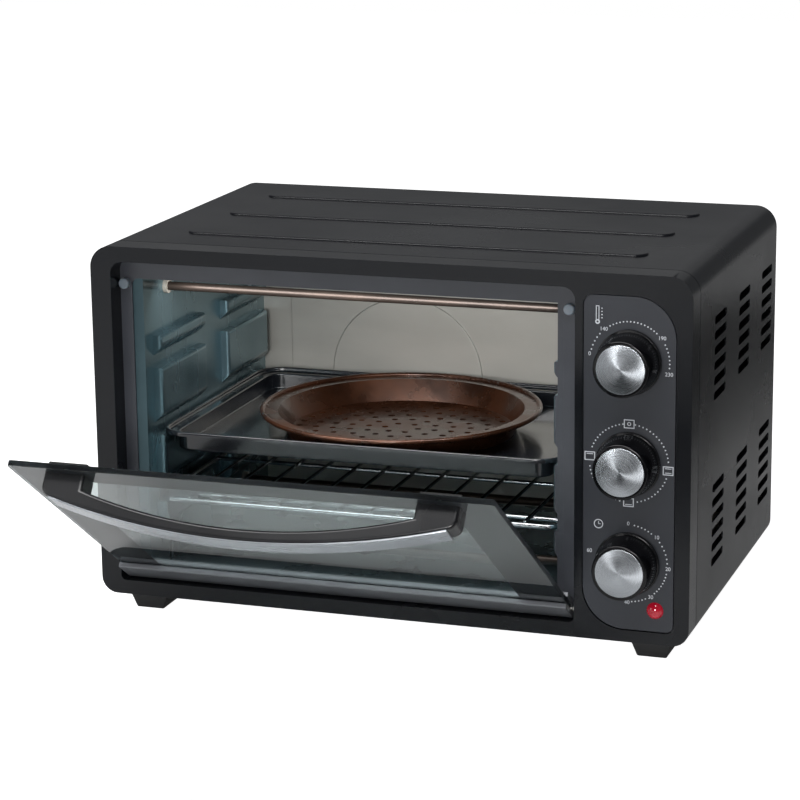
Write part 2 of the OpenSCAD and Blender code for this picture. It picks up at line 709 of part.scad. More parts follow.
// Stands an outline drawn as X and distance off the glass up on the shut door
module off_glass(z0, h) translate([door_cx, glass_y0, z0]) mirror([0, 1, 0]) linear_extrude(h) children();

module door_handle() color([0.07, 0.07, 0.08]) in_place() on_door() difference() {
    off_glass(handle_z0, handle_h) handle_plan();
    for (s = [-1, 1]) rod_y([door_cx + s * screw_x, glass_y0 - 11, handle_mid_z], 12, 4.1);
}

module handle_trim() color([0.78, 0.79, 0.80]) in_place() on_door() off_glass(handle_z0, handle_h)
    difference() {
        intersection() {
            translate([0, bow_y]) circle(handle_r + trim_t, $fn = bow_fn);
            translate([1 - tip_x, 0]) square([2 * tip_x - 2, handle_reach + trim_t + 1]);
        }
        translate([0, bow_y]) circle(handle_r + 0.05, $fn = bow_fn);
    }

// Backing pads between the screw heads and the glass
module handle_pads() color([0.06, 0.06, 0.07]) in_place() on_door() for (s = [-1, 1]) difference() {
    translate([door_cx + s * screw_x - pad_w / 2, glass_y1, handle_mid_z - pad_h / 2])
        cube([pad_w, pad_t, pad_h]);
    rod_y([door_cx + s * screw_x, glass_y1 - 1, handle_mid_z], 8, 4.4);
    rod_y([door_cx + s * screw_x, glass_y1 + pad_t - 2.4, handle_mid_z], 8, 7.6);
}

module handle_screws() color([0.7, 0.7, 0.72]) in_place() on_door() for (s = [-1, 1])
    translate([door_cx + s * screw_x, glass_y1 + pad_t - 2.4, handle_mid_z]) rotate([0, 0, 180])
        screw(4, pad_t - 2.4 + glass_t + 10, 7, 2.1);

// ---- Cookware ----

// Wire of eight sides along Y or X, with its middle at the given height
module wire_y(x, z, d) translate([x, shelf_y0, z]) rotate([-90, 0, 0]) rotate([0, 0, 22.5])
    cylinder(h = shelf_y1 - shelf_y0, d = d, $fn = 8);
module wire_x(y, z, d) translate([shelf_x0, y, z]) rotate([0, 90, 0]) rotate([0, 0, 22.5])
    cylinder(h = shelf_x1 - shelf_x0, d = d, $fn = 8);

module wire_rack() color([0.55, 0.56, 0.57]) in_place() {
    inner = frame_wire / 2;
    pitch = (shelf_x1 - shelf_x0 - frame_wire) / (wire_count + 1);
    long_z = rack_z + frame_wire / 2 + thin_wire / 2 - 0.5;
    for (x = [shelf_x0 + inner, shelf_x1 - inner]) wire_y(x, rack_z, frame_wire);
    for (y = [shelf_y0 + inner, shelf_y1 - inner]) wire_x(y, rack_z, frame_wire);
    for (y = [shelf_y0 + 21, (shelf_y0 + shelf_y1) / 2, shelf_y1 - 21]) wire_x(y, rack_z + 0.2, thin_wire + 0.6);
    for (i = [1:wire_count]) wire_y(shelf_x0 + inner + i * pitch, long_z, thin_wire);
}

module tray_outline(inset, r) rounded(shelf_x0 + inset, shelf_y0 + inset, shelf_x1 - inset,
    shelf_y1 - inset, r);

module baking_tray() color([0.06, 0.07, 0.09]) in_place() {
    translate([0, 0, tray_floor_z]) linear_extrude(pan_t) tray_outline(tray_rim, tray_r - tray_rim + 4);
    translate([0, 0, tray_floor_z + eps]) linear_extrude(tray_depth + pan_t - 2 * eps) difference() {
        tray_outline(tray_rim, tray_r - tray_rim + 4);
        tray_outline(tray_rim + pan_t, tray_r - tray_rim + 4 - pan_t);
    }
    translate([0, 0, tray_rim_z]) linear_extrude(pan_t) difference() {
        tray_outline(0, tray_r);
        tray_outline(tray_rim + pan_t / 2, tray_r - tray_rim + 4 - pan_t / 2);
    }
    translate([0, 0, tray_rim_z + eps]) linear_extrude(bead_h) difference() {
        tray_outline(0, tray_r);
        tray_outline(2.6, tray_r - 2.6);
    }
}

// Round pan that hangs inside the tray: flaring wall, flat flange, rolled rim and rings of holes
module crisper_pan() color([0.24, 0.13, 0.08]) in_place() translate([pan_cx, pan_cy, pan_z]) difference() {
    ring_pitch = 13;
    rotate_extrude() {
        polygon([[0, 0], [pan_floor_r, 0], [pan_wall_r, pan_rim_z], [pan_r - roll_r, pan_rim_z],
            [pan_r - roll_r, pan_rim_z + pan_t], [pan_wall_r - pan_t, pan_rim_z + pan_t],
            [pan_floor_r - pan_t, pan_t], [0, pan_t]]);
        translate([pan_r - roll_r, pan_rim_z + roll_r]) circle(roll_r);
    }
    for (ring = [1:floor((pan_floor_r - 6) / ring_pitch)], i = [1:6 * ring])
        rotate([0, 0, 60 * i / ring]) translate([ring * ring_pitch, 0, -1])
            cylinder(h = pan_t + 2, d = pan_hole_d);
}

outer_cover();
rear_panel();
base_pan();
front_fascia();
front_frame();
control_panel();
cavity_left_wall();
cavity_right_wall();
cavity_ceiling();
cavity_floor();
cavity_back();
upper_front_heater();
upper_rear_heater();
lower_front_heater();
lower_rear_heater();
heater_insulators();
fan_housing();
fan_impeller();
fan_shaft();
fan_motor();
thermostat();
function_switch();
timer();
control_screws();
thermostat_shaft();
function_shaft();
timer_shaft();
thermostat_knob();
function_knob();
timer_knob();
thermostat_disc();
function_disc();
timer_disc();
pilot_lens();
pilot_lamp();
terminal_block();
cord_inlet();
rear_screws();
feet();
foot_screws();
hinge_brackets();
door_bumpers();
door_glass();
door_rail();
hinge_pins();
door_handle();
handle_trim();
handle_pads();
handle_screws();
wire_rack();
baking_tray();
crisper_pan();
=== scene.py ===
# Looks of a countertop toaster oven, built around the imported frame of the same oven.
# Metres throughout; X to the right, Y to the back, Z up from the floor under the feet.
import json
import math

import bmesh
import bpy
from mathutils import Matrix, Quaternion, Vector


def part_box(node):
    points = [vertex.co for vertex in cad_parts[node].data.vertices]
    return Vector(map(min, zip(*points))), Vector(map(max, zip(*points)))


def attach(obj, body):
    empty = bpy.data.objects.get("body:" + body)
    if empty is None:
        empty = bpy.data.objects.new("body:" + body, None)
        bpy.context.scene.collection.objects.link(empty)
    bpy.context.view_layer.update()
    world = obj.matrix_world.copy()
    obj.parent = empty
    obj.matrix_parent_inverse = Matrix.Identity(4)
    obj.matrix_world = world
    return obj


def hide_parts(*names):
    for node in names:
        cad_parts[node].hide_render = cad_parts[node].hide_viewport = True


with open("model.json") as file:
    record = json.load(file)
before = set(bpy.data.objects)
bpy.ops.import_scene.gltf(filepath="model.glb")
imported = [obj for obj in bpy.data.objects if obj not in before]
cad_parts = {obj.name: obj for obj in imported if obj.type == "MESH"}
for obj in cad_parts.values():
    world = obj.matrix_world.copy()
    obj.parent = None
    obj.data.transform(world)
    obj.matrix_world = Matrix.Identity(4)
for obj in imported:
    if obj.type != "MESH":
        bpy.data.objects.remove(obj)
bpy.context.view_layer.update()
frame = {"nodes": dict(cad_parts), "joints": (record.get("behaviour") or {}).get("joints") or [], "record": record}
nodes = frame["nodes"]
body_of = {n: b for b, members in frame["record"]["behaviour"]["bodies"].items() for n in members}
mm = 0.001

# ---- Camera, floor and lights ----
# A long lens from the front right, a little above the oven, on a white table. Softboxes hang
# over the front and stand at the left, the front and far behind, and a small one lights the
# cavity from behind the top of its mouth. The room itself is dim.
bpy.ops.object.select_all(action="DESELECT")
bpy.ops.object.camera_add(location=(0.6137, -1.8029, 0.6386))
camera = bpy.context.object
aim = Vector((0.013, -0.0465, 0.1767)) - camera.location
roll = Quaternion((0, 0, 1), math.radians(-0.68))
camera.rotation_mode = "QUATERNION"
camera.rotation_quaternion = aim.to_track_quat("-Z", "Y") @ roll
camera.data.lens = 123.75
camera.data.sensor_width = 36
bpy.context.scene.camera = camera
bpy.context.scene.view_settings.view_transform = "Standard"

bpy.ops.mesh.primitive_plane_add(size=8, location=(0, 0, -0.2 * mm))
table = bpy.context.object
table.name = "table_top"
white = bpy.data.materials.new("white_table")
white.use_nodes = True
matt_white = white.node_tree.nodes["Principled BSDF"]
matt_white.inputs["Base Color"].default_value = (0.8, 0.8, 0.8, 1)
matt_white.inputs["Roughness"].default_value = 0.8
glow = white.node_tree.nodes.new("ShaderNodeMath")
seen_from = white.node_tree.nodes.new("ShaderNodeLightPath")
glow_always, glow_when_seen = 0.08, 0.92
glow.operation = "MULTIPLY_ADD"
glow.inputs[1].default_value = glow_when_seen
glow.inputs[2].default_value = glow_always
matt_white.inputs["Emission Color"].default_value = (1, 1, 1, 1)
white.node_tree.links.new(seen_from.outputs["Is Camera Ray"], glow.inputs[0])
white.node_tree.links.new(glow.outputs["Value"], matt_white.inputs["Emission Strength"])
table.data.materials.append(white)


def softbox(name, place, target, width, height, watts):
    """A rectangular soft light at place that faces target."""
    bpy.ops.object.light_add(type="AREA", location=place)
    box = bpy.context.object
    box.name = name
    box.data.shape = "RECTANGLE"
    box.data.size, box.data.size_y = width, height
    box.data.energy = watts
    box.rotation_mode = "QUATERNION"
    box.rotation_quaternion = (Vector(target) - Vector(place)).to_track_quat("-Z", "Y")
    return box


softbox("overhead_softbox", (-0.2, -0.8, 1.6), (0, -0.2, 0.05), 1.6, 0.5, 26)
softbox("left_softbox", (-1.5, -1.3, 0.75), (0, 0, 0.15), 0.6, 1.1, 7)
softbox("front_softbox", (0.3, -2.2, 0.5), (-0.05, 0, 0.15), 0.5, 0.4, 20)
back_light = softbox("back_softbox", (-0.7, 2.2, 0.9), (0, 0, 0.2), 2.4, 0.5, 0.6)
cavity_light = softbox("cavity_fill", (-0.033, -0.012, 0.24), (-0.033, 0.12, 0.12),
                       0.28, 0.015, 0.36)
back_light.visible_camera = cavity_light.visible_camera = False

# Black cloths beside the oven keep the white table out of its right-hand reflections
cloth_black = bpy.data.materials.new("black_cloth")
cloth_black.use_nodes = True
matt_black = cloth_black.node_tree.nodes["Principled BSDF"]
matt_black.inputs["Base Color"].default_value = (0.01, 0.01, 0.01, 1)
matt_black.inputs["Roughness"].default_value = 1
for name, x0, x1, y0, y1 in (("front_cloth", -0.02, 1.4, -1.7, -0.36),
                             ("side_cloth", 0.32, 1.4, -0.06, 1.2)):
    bpy.ops.mesh.primitive_plane_add(size=1, location=((x0 + x1) / 2, (y0 + y1) / 2, 0))
    cloth = bpy.context.object
    cloth.name = name
    cloth.scale = (x1 - x0, y1 - y0, 1)
    bpy.ops.object.transform_apply(location=False, rotation=False, scale=True)
    cloth.visible_camera = False
    cloth.data.materials.append(cloth_black)

room = bpy.data.worlds.new("studio_room")
room.use_nodes = True
bpy.context.scene.world = room
room_nodes, room_links = room.node_tree.nodes, room.node_tree.links
seen = room_nodes["Background"]
seen.inputs["Color"].default_value = (1, 1, 1, 1)
dim = room_nodes.new("ShaderNodeBackground")
dim.inputs["Color"].default_value = (0.93, 0.96, 1, 1)
dim.inputs["Strength"].default_value = 0.12
path = room_nodes.new("ShaderNodeLightPath")
either = room_nodes.new("ShaderNodeMixShader")
room_links.new(path.outputs["Is Camera Ray"], either.inputs["Fac"])
room_links.new(dim.outputs["Background"], either.inputs[1])
room_links.new(seen.outputs["Background"], either.inputs[2])
room_links.new(either.outputs["Shader"], room_nodes["World Output"].inputs["Surface"])


# ---- Steel cover ----
# One sheet of steel wrapped over both sides and the top, louvred at the sides, with three
# long ribs pressed up in the top, sprayed in fine-textured satin black powder paint.
def only(piece):
    """Leaves one object selected and active."""
    bpy.ops.object.select_all(action="DESELECT")
    piece.select_set(True)
    bpy.context.view_layer.objects.active = piece


def pick(piece, kind, chosen):
    """In edit mode, selects just the faces or edges that chosen accepts."""
    bpy.ops.mesh.select_mode(type=kind)
    bpy.ops.mesh.select_all(action="DESELECT")
    shape = bmesh.from_edit_mesh(piece.data)
    for part in list(shape.faces if kind == "FACE" else shape.edges):
        if chosen(part):
            part.select_set(True)
    shape.select_flush_mode()
    bmesh.update_edit_mesh(piece.data)


def middle(edge):
    return (edge.verts[0].co + edge.verts[1].co) / 2


def sharp(edge, angle=35):
    """Whether two faces meet at the edge in a real corner."""
    return len(edge.link_faces) == 2 and edge.calc_face_angle(0) > math.radians(angle)


def shade(piece, angle=32):
    only(piece)
    bpy.ops.object.shade_smooth_by_angle(angle=math.radians(angle))


def round_over(piece, radius, steps, chosen):
    """Rounds the sharp edges that chosen accepts."""
    only(piece)
    bpy.ops.object.mode_set(mode="EDIT")
    pick(piece, "EDGE", lambda edge: sharp(edge) and chosen(edge))
    if piece.data.total_edge_sel:
        bpy.ops.mesh.bevel(offset=radius, segments=steps, profile=0.5, affect="EDGES",
                           clamp_overlap=True)
    bpy.ops.object.mode_set(mode="OBJECT")
    shade(piece)


def welded(node, name):
    """A copy of a node's skin with its loose triangles joined into whole faces, to stand for it."""
    piece = bpy.data.objects.new(name, nodes[node].data.copy())
    bpy.context.scene.collection.objects.link(piece)
    only(piece)
    bpy.ops.object.mode_set(mode="EDIT")
    bpy.ops.mesh.select_all(action="SELECT")
    bpy.ops.mesh.remove_doubles(threshold=0.002 * mm)
    bpy.ops.mesh.dissolve_limited(angle_limit=math.radians(0.3))
    bpy.ops.object.mode_set(mode="OBJECT")
    bpy.ops.mesh.customdata_custom_splitnormals_clear()
    shade(piece)
    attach(piece, body_of[node])
    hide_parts(node)
    return piece


def colour(red, green, blue):
    """A colour given as on a paint card, 0 to 255, as the shader wants it."""
    return tuple((c / 255 / 12.92) if c < 11 else ((c / 255 + 0.055) / 1.055) ** 2.4
                 for c in (red, green, blue)) + (1,)


def socket(tree, label, way, kind="NodeSocketFloat", value=None):
    made = tree.interface.new_socket(label, in_out=way, socket_type=kind)
    if value is not None:
        made.default_value = value


# Fine grain for a bump and slow patches for tone and gloss, on the piece's own coordinates
skin_detail = bpy.data.node_groups.new("skin_detail", "ShaderNodeTree")
socket(skin_detail, "Position", "INPUT", "NodeSocketVector")
socket(skin_detail, "Grain Scale", "INPUT", value=900)
socket(skin_detail, "Patch Scale", "INPUT", value=9)
socket(skin_detail, "Grain", "OUTPUT")
socket(skin_detail, "Patch", "OUTPUT")
inner = skin_detail.nodes
ask, give = inner.new("NodeGroupInput"), inner.new("NodeGroupOutput")
fine, slow, spread = (inner.new("ShaderNodeTexNoise"), inner.new("ShaderNodeTexNoise"),
                      inner.new("ShaderNodeMapRange"))
fine.inputs["Detail"].default_value = 3
slow.inputs["Detail"].default_value = 5
spread.inputs["From Min"].default_value = 0.35
spread.inputs["From Max"].default_value = 0.65
for a, b in ((ask.outputs["Position"], fine.inputs["Vector"]),
             (ask.outputs["Position"], slow.inputs["Vector"]),
             (ask.outputs["Grain Scale"], fine.inputs["Scale"]),
             (ask.outputs["Patch Scale"], slow.inputs["Scale"]),
             (slow.outputs["Fac"], spread.inputs["Value"]),
             (fine.outputs["Fac"], give.inputs["Grain"]),
             (spread.outputs["Result"], give.inputs["Patch"])):
    skin_detail.links.new(a, b)


def finish(name, dark, light, gloss, grain, depth, patch=9, stretch=(1, 1, 1), **plain):
    """A surface whose tone and gloss wander between two values and whose grain is a bump.
    gloss is the pair of roughnesses, grain its scale, depth its height in metres, stretch
    draws the pattern out along an axis, and plain holds values for the shader's own sockets."""
    made = bpy.data.materials.new(name)
    made.use_nodes = True
    parts, links = made.node_tree.nodes, made.node_tree.links
    shader = parts["Principled BSDF"]
    for label, value in plain.items():
        shader.inputs[label.replace("_", " ")].default_value = value
    where = parts.new("ShaderNodeTexCoord")
    drawn = parts.new("ShaderNodeMapping")
    drawn.inputs["Scale"].default_value = stretch
    detail = parts.new("ShaderNodeGroup")
    detail.node_tree = skin_detail
    detail.inputs["Grain Scale"].default_value = grain
    detail.inputs["Patch Scale"].default_value = patch
    tone = parts.new("ShaderNodeMix")
    tone.data_type = "RGBA"
    tone.inputs["A"].default_value = dark
    tone.inputs["B"].default_value = light
    rough = parts.new("ShaderNodeMapRange")
    rough.inputs["To Min"].default_value, rough.inputs["To Max"].default_value = gloss
    bump = parts.new("ShaderNodeBump")
    bump.inputs["Distance"].default_value = depth
    links.new(where.outputs["Object"], drawn.inputs["Vector"])
    links.new(drawn.outputs["Vector"], detail.inputs["Position"])
    links.new(detail.outputs["Patch"], tone.inputs["Factor"])
    links.new(detail.outputs["Patch"], rough.inputs["Value"])
    links.new(detail.outputs["Grain"], bump.inputs["Height"])
    links.new(tone.outputs["Result"], shader.inputs["Base Color"])
    links.new(rough.outputs["Result"], shader.inputs["Roughness"])
    links.new(bump.outputs["Normal"], shader.inputs["Normal"])
    return made


def dress(piece, material):
    piece.data.materials.clear()
    piece.data.materials.append(material)


def paint(material, *names):
    """Gives carried-over nodes a finish."""
    for name in names:
        for holder in nodes[name].material_slots:
            holder.material = material


cover_paint = finish("satin_black_powder_paint", colour(15, 16, 20), colour(19, 20, 24),
                     (0.26, 0.34), 1400, 0.03 * mm, patch=6, Specular_IOR_Level=0.35)
cover = welded("outer_cover", "steel_cover")
cover_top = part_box("outer_cover")[1].z
round_over(cover, 1.1 * mm, 3, lambda edge: middle(edge).z > cover_top - 0.1 * mm)
dress(cover, cover_paint)

# ---- Rear panel and base pan ----
# A black painted sheet closes the back and a zinc-coated one the underside, both slotted for
# cooling air. Six cross-head screws hold the rear panel to the cover's folded edge.
zinc_sheet = finish("zinc_coated_sheet", colour(140, 143, 146), colour(152, 155, 158), (0.42, 0.5),
                    500, 0.01 * mm, patch=45, Metallic=1.0)
back_panel = welded("rear_panel", "back_panel_sheet")
dress(back_panel, cover_paint)
paint(zinc_sheet, "base_pan")

bright_zinc = finish("bright_zinc_screw", colour(150, 150, 146), colour(176, 176, 170),
                     (0.25, 0.38), 700, 0.004 * mm, patch=60, Metallic=1.0)


def moved_copy(piece, name, matrix):
    """A copy with its own mesh, carried through a matrix."""
    twin = bpy.data.objects.new(name, piece.data.copy())
    twin.data.transform(matrix)
    bpy.context.scene.collection.objects.link(twin)
    return twin


def join(pieces, name):
    """Joins objects into one."""
    bpy.ops.object.select_all(action="DESELECT")
    for piece in pieces:
        piece.select_set(True)
    bpy.context.view_layer.objects.active = pieces[0]
    bpy.ops.object.join()
    pieces[0].name = pieces[0].data.name = name
    return pieces[0]


def set_in_place():
    """Puts the active object's place and turn into its mesh."""
    bpy.ops.object.transform_apply(location=True, rotation=True, scale=True)
    return bpy.context.object


def cross_screw(radius, height, shank_r, shank_l):
    """A pan-head screw at the origin: seat at zero, head up along Z with a cross recess, shank
    down."""
    bpy.ops.object.select_all(action="DESELECT")
    bpy.ops.mesh.primitive_cylinder_add(vertices=32, radius=radius, depth=height,
                                        location=(0, 0, height / 2))
    screw = set_in_place()
    only(screw)
    bpy.ops.object.mode_set(mode="EDIT")
    pick(screw, "FACE", lambda face: face.normal.z < -0.9)
    bpy.ops.mesh.inset(thickness=radius - shank_r)
    bpy.ops.mesh.extrude_region_move(TRANSFORM_OT_translate={"value": (0, 0, -shank_l)})
    pick(screw, "EDGE", lambda edge: sharp(edge) and middle(edge).z > height * 0.9)
    bpy.ops.mesh.bevel(offset=height * 0.55, segments=4, affect="EDGES")
    bpy.ops.object.mode_set(mode="OBJECT")
    for turn in (0, math.pi / 2):
        bpy.ops.object.select_all(action="DESELECT")
        bpy.ops.mesh.primitive_cube_add(size=1, location=(0, 0, height), rotation=(0, 0, turn))
        cutter = bpy.context.object
        cutter.scale = (radius * 1.1, radius * 0.24, height * 1.1)
        set_in_place()
        only(screw)
        cut = screw.modifiers.new("cross", "BOOLEAN")
        cut.operation = "DIFFERENCE"
        cut.object = cutter
        bpy.ops.object.modifier_apply(modifier=cut.name)
        bpy.data.objects.remove(cutter)
    shade(screw)
    return screw


panel_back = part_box("rear_panel")[1].y
case_lo, case_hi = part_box("outer_cover")
case_base = case_lo.z
case_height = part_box("front_fascia")[1].z - case_base
rear_screw = cross_screw(3.25 * mm, 2 * mm, 1.3 * mm, 3 * mm)
screw_inset = 8 * mm
screw_x = case_hi.x - screw_inset
screw_levels = (0.12, 0.5, 0.88)
to_back = Matrix.Rotation(math.radians(-90), 4, "X")
rear_heads = [moved_copy(rear_screw, "rear_head", Matrix.Translation(
    (side * screw_x, panel_back, case_base + share * case_height)) @ to_back)
    for side in (-1, 1) for share in screw_levels]
bpy.data.objects.remove(rear_screw)
rear_heads = join(rear_heads, "rear_panel_screws")
dress(rear_heads, bright_zinc)
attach(rear_heads, "oven")
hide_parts("rear_screws")

# ---- Feet ----
# Four black rubber feet, moulded as blocks that narrow downwards with soft edges, each held
# up into the cover by one screw in a recess of its underside.
foot_rubber = finish("matt_black_rubber", colour(24, 24, 25), colour(30, 30, 31), (0.6, 0.75),
                     1100, 0.06 * mm, patch=30)
feet = welded("feet", "rubber_feet")
recess = 7 * mm
foot_half_w, foot_half_l = 16 * mm, 18 * mm


def off_the_recess(edge):
    spot = middle(edge)
    near = min(((spot.x - x) ** 2 + (spot.y - y) ** 2) ** 0.5 for x, y in foot_places)
    return near > recess


foot_lo, foot_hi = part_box("feet")
foot_places = [(x, y) for x in (foot_lo.x + foot_half_w, foot_hi.x - foot_half_w)
               for y in (foot_lo.y + foot_half_l, foot_hi.y - foot_half_l)]
round_over(feet, 2.2 * mm, 4, off_the_recess)
dress(feet, foot_rubber)
paint(bright_zinc, "foot_screws")

# ---- Fascia ----
# One near-black moulding with a satin skin: soft outer edge, a deep recess for the door and
# a shaped window for the control panel, clipped over the front frame.
fascia_skin = finish("near_black_satin_moulding", colour(9, 11, 15), colour(12, 14, 18),
                     (0.2, 0.28), 1600, 0.012 * mm, patch=8, Specular_IOR_Level=0.32)
fascia = welded("front_fascia", "fascia_moulding")
fascia_lo, fascia_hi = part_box("front_fascia")
front = fascia_lo.y
recess_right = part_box("door_rail")[1].x + 3 * mm


def on_front(edge, limit=0.05 * mm):
    return all(v.co.y < front + limit for v in edge.verts)


def outer_rim(edge):
    """Whether the edge is on the fascia's outline, straight sides or rounded corners."""
    spot = middle(edge)
    corner, corner_arc = 13 * mm, 9 * mm
    side = min(spot.x - fascia_lo.x, fascia_hi.x - spot.x)
    level = min(spot.z - fascia_lo.z, fascia_hi.z - spot.z)
    in_corner = side < corner and level < corner and side + level < corner_arc
    return side < 0.1 * mm or level < 0.1 * mm or in_corner


def door_rim(edge):
    return not outer_rim(edge) and middle(edge).x < recess_right + 1 * mm


round_over(fascia, 3.2 * mm, 6, lambda edge: on_front(edge) and outer_rim(edge))
round_over(fascia, 1.4 * mm, 4, lambda edge: on_front(edge) and door_rim(edge))
round_over(fascia, 0.5 * mm, 2, lambda edge: on_front(edge) and not outer_rim(edge))
dress(fascia, fascia_skin)

# ---- Front frame, bumpers and hinge brackets ----
# A pressed steel plate in dark enamel carries the cavity, the switches and the cover. Two
# grey silicone bumpers are pushed into it and meet the shut door's glass.
frame_enamel = finish("dark_grey_enamel", colour(52, 54, 60), colour(60, 62, 68), (0.3, 0.42),
                      900, 0.02 * mm, patch=14)
mouth_plate = welded("front_frame", "mouth_plate")
plate_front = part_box("front_frame")[0].y
round_over(mouth_plate, 0.5 * mm, 2, lambda edge: middle(edge).y < plate_front + 0.1 * mm)
dress(mouth_plate, frame_enamel)

silicone = finish("grey_silicone", colour(104, 112, 120), colour(116, 124, 132), (0.45, 0.55),
                  800, 0.02 * mm, patch=60, Subsurface_Weight=0.15, Subsurface_Scale=2 * mm)
bumpers = welded("door_bumpers", "silicone_bumpers")
bumper_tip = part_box("door_bumpers")[0].y
round_over(bumpers, 1 * mm, 3, lambda edge: middle(edge).y < bumper_tip + 0.1 * mm)
dress(bumpers, silicone)
dress(welded("hinge_brackets", "hinge_ears"), zinc_sheet)

# ---- Control panel ----
# A dark grey moulded panel with a fine matt grain, set into the fascia with a narrow
# groove round it and printed in white.
panel_skin = finish("dark_grey_matt_panel", colour(28, 31, 38), colour(33, 36, 43), (0.36, 0.46),
                    1800, 0.02 * mm, patch=10)
panel = welded("control_panel", "dial_panel")
panel_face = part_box("control_panel")[0].y
dial_x = (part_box("thermostat_disc")[0].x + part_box("thermostat_disc")[1].x) / 2
long_side, clear_of_shafts = 30 * mm, 12 * mm
round_over(panel, 0.7 * mm, 3, lambda edge: middle(edge).y < panel_face + 0.1 * mm
           and (edge.calc_length() > long_side or abs(middle(edge).x - dial_x) > clear_of_shafts))
dress(panel, panel_skin)

# ---- Printed dials ----
# White screen print on the panel: rings of dots, degrees and minutes in plain figures, small
# outlined boxes for the cooking modes, and a thermometer and a clock for the two scales.
print_white = finish("white_screen_print", colour(184, 188, 194), colour(204, 207, 212),
                     (0.5, 0.6), 1200, 0.004 * mm, patch=90)
print_t = 0.12 * mm
print_y = panel_face - print_t / 2
ring_r = 27.6 * mm
dot_r = 0.52 * mm


def dial_centre(node):
    low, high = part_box(node)
    return Vector(((low.x + high.x) / 2, print_y, (low.z + high.z) / 2))


def turn_about(centre, degrees):
    """Turns clockwise as seen from the front."""
    return (Matrix.Translation(centre) @ Matrix.Rotation(math.radians(degrees), 4, "Y")
            @ Matrix.Translation(-centre))


def dots(centre, spans):
    """Rings of dots, each span given as first angle, last angle and number of dots."""
    bpy.ops.object.select_all(action="DESELECT")
    bpy.ops.mesh.primitive_cylinder_add(vertices=12, radius=dot_r, depth=print_t,
                                        location=centre + Vector((0, 0, ring_r)),
                                        rotation=(math.pi / 2, 0, 0))
    dot = set_in_place()
    made = []
    for first, last, count in spans:
        for i in range(count):
            angle = first + (last - first) * i / max(1, count - 1)
            made.append(moved_copy(dot, "dot", turn_about(centre, angle)))
    bpy.data.objects.remove(dot)
    return made


def figure(words, centre, degrees, height=2.8 * mm, reach=ring_r + 0.6 * mm):
    """Upright figures on a ring, with their middle at the given angle."""
    turn = math.radians(degrees)
    spot = centre + Vector((math.sin(turn) * reach, 0, math.cos(turn) * reach))
    bpy.ops.object.select_all(action="DESELECT")
    bpy.ops.object.text_add(location=spot, rotation=(math.pi / 2, 0, 0))
    words_made = bpy.context.object
    words_made.data.body = words
    words_made.data.size = height * 1.35  # the type size of figures that are height tall
    words_made.data.extrude = print_t / 2
    words_made.data.align_x, words_made.data.align_y = "CENTER", "CENTER"
    bpy.ops.object.convert(target="MESH")
    return set_in_place()


def depth_of(edge):
    """How far the edge runs from front to back."""
    return abs((edge.verts[0].co - edge.verts[1].co).y)


def bar(x0, z0, x1, z1):
    """A printed bar from one corner to the other, slightly rounded."""
    bpy.ops.object.select_all(action="DESELECT")
    bpy.ops.mesh.primitive_cube_add(size=1, location=((x0 + x1) / 2, print_y, (z0 + z1) / 2))
    stroke = bpy.context.object
    stroke.scale = (x1 - x0, print_t, z1 - z0)
    set_in_place()
    round_over(stroke, 0.1 * mm, 2, lambda edge: depth_of(edge) > print_t / 2)
    return stroke


def outlined(x, z, width, height, line=0.62 * mm):
    """A printed outline of a box, made by an inset whose middle is taken out."""
    bpy.ops.object.select_all(action="DESELECT")
    bpy.ops.mesh.primitive_plane_add(size=1, location=(x, print_y + print_t / 2, z),
                                     rotation=(math.pi / 2, 0, 0))
    box = bpy.context.object
    box.scale = (width, height, 1)
    set_in_place()
    only(box)
    bpy.ops.object.mode_set(mode="EDIT")
    bpy.ops.mesh.select_all(action="SELECT")
    bpy.ops.mesh.inset(thickness=line)
    bpy.ops.mesh.delete(type="FACE")
    bpy.ops.mesh.select_all(action="SELECT")
    bpy.ops.mesh.extrude_region_move(TRANSFORM_OT_translate={"value": (0, -print_t, 0)})
    bpy.ops.mesh.select_all(action="SELECT")
    bpy.ops.mesh.normals_make_consistent(inside=False)
    bpy.ops.object.mode_set(mode="OBJECT")
    return box


def ring(x, z, radius, line):
    """A printed circle."""
    bpy.ops.object.select_all(action="DESELECT")
    bpy.ops.mesh.primitive_torus_add(major_radius=radius, minor_radius=line / 2,
                                     major_segments=40, minor_segments=6,
                                     location=(x, print_y, z), rotation=(math.pi / 2, 0, 0))
    circle = set_in_place()
    flatten = Matrix.Diagonal((1, print_t / line, 1, 1))
    circle.data.transform(Matrix.Translation((0, print_y, 0)) @ flatten
                          @ Matrix.Translation((0, -print_y, 0)))
    return circle


def printed(parts, name):
    piece = join(parts, name)
    dress(piece, print_white)
    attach(piece, "oven")


heat = dial_centre("thermostat_disc")
printed(dots(heat, [(-75, -49, 5), (-30, 42, 15), (62, 96, 7)])
        + [figure(words, heat, degrees) for words, degrees in
           (("0", -82), ("140", -40), ("190", 52), ("230", 105))],
        "heat_scale_print")

mode = dial_centre("function_disc")
mode_parts = dots(mode, [(9, 84, 14), (109, 167, 11), (193, 262, 13), (291, 351, 12)])
line_half, line_in, line_out = 2.3 * mm, 1.3 * mm, 1.75 * mm
for degrees, fan, top_line, low_line in ((0, True, False, False), (97, False, True, True),
                                         (180, False, False, True), (277, False, True, False)):
    turn = math.radians(degrees)
    x, z = mode.x + ring_r * math.sin(turn), mode.z + ring_r * math.cos(turn)
    mode_parts.append(outlined(x, z, 7.4 * mm, 6.2 * mm))
    if fan:
        mode_parts.append(ring(x, z, 1.1 * mm, 0.55 * mm))
    if top_line:
        mode_parts.append(bar(x - line_half, z + line_in, x + line_half, z + line_out))
    if low_line:
        mode_parts.append(bar(x - line_half, z - line_out, x + line_half, z - line_in))
printed(mode_parts, "mode_scale_print")

